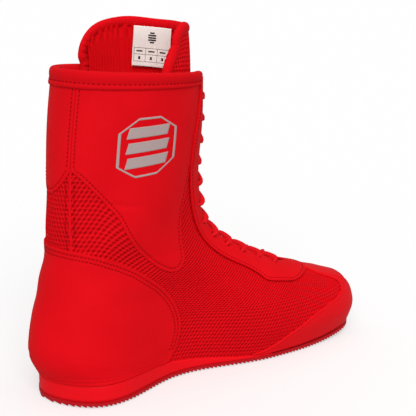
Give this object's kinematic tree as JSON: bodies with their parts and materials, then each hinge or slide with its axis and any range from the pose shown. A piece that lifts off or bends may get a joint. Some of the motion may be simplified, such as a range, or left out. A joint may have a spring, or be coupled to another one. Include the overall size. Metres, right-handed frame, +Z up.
{
  "type": "boxing boot",
  "caption": "High-top lace-up boxing boot, left foot: mesh upper with smooth overlays on a thin ripple sole.",
  "frame": {"origin": "on the ground under the middle of the boot's box", "axes": "+X to the toe, +Y to the outer side of the foot, +Z up"},
  "size_m": [0.286, 0.0868, 0.2713],
  "materials": {
    "outsole_rubber": "matte moulded rubber",
    "sidewall_rubber": "smooth moulded rubber",
    "upper_mesh": "spacer mesh",
    "upper_overlay": "smooth coated synthetic",
    "binding_fabric": "soft knitted binding",
    "lining_fabric": "brushed lining",
    "rib_knit": "ribbed knit",
    "footbed_foam": "foam faced with cloth",
    "insole_fibre": "fibre board",
    "stiffener_sheet": "thermoplastic sheet",
    "lace_cord": "braided cord",
    "lace_tip": "clear-coated tip",
    "label_fabric": "woven satin tape",
    "badge_print": "silver-grey print"
  },
  "bodies": {
    "boot": {"outsole": "outsole_rubber", "heel_wedge": "sidewall_rubber", "insole_board": "insole_fibre", "sock_liner": "footbed_foam", "lining": "lining_fabric", "heel_stiffener": "stiffener_sheet", "toe_puff": "stiffener_sheet", "vamp_mesh": "upper_mesh", "rear_mesh": "upper_mesh", "back_panel": "upper_overlay", "shaft_panel_inner": "upper_overlay", "shaft_panel_outer": "upper_overlay", "heel_counter": "upper_overlay", "toe_cap": "upper_overlay", "eyestay": "upper_overlay", "collar_binding": "binding_fabric", "badge_inner": "badge_print", "badge_outer": "badge_print", "lace": "lace_cord", "lace_tip_inner": "lace_tip", "lace_tip_outer": "lace_tip", "tongue_base": "upper_mesh", "tongue_base_lining": "rib_knit"},
    "tongue_flap": {"tongue_flap": "upper_mesh", "tongue_flap_lining": "rib_knit", "tongue_binding": "binding_fabric"},
    "size_label": {"size_label": "label_fabric"}
  },
  "joints": [
    {"name": "tongue_fold", "type": "hinge", "parent": "boot", "child": "tongue_flap", "pos_m": [-0.012, 0, 0.2315], "axis": [0, 1, 0], "range_deg": [0, 25]},
    {"name": "label_flip", "type": "hinge", "parent": "tongue_flap", "child": "size_label", "pos_m": [-0.0312, 0.0162, 0.2613], "axis": [-0.8, 0.6, 0], "range_deg": [0, 80]}
  ]
}
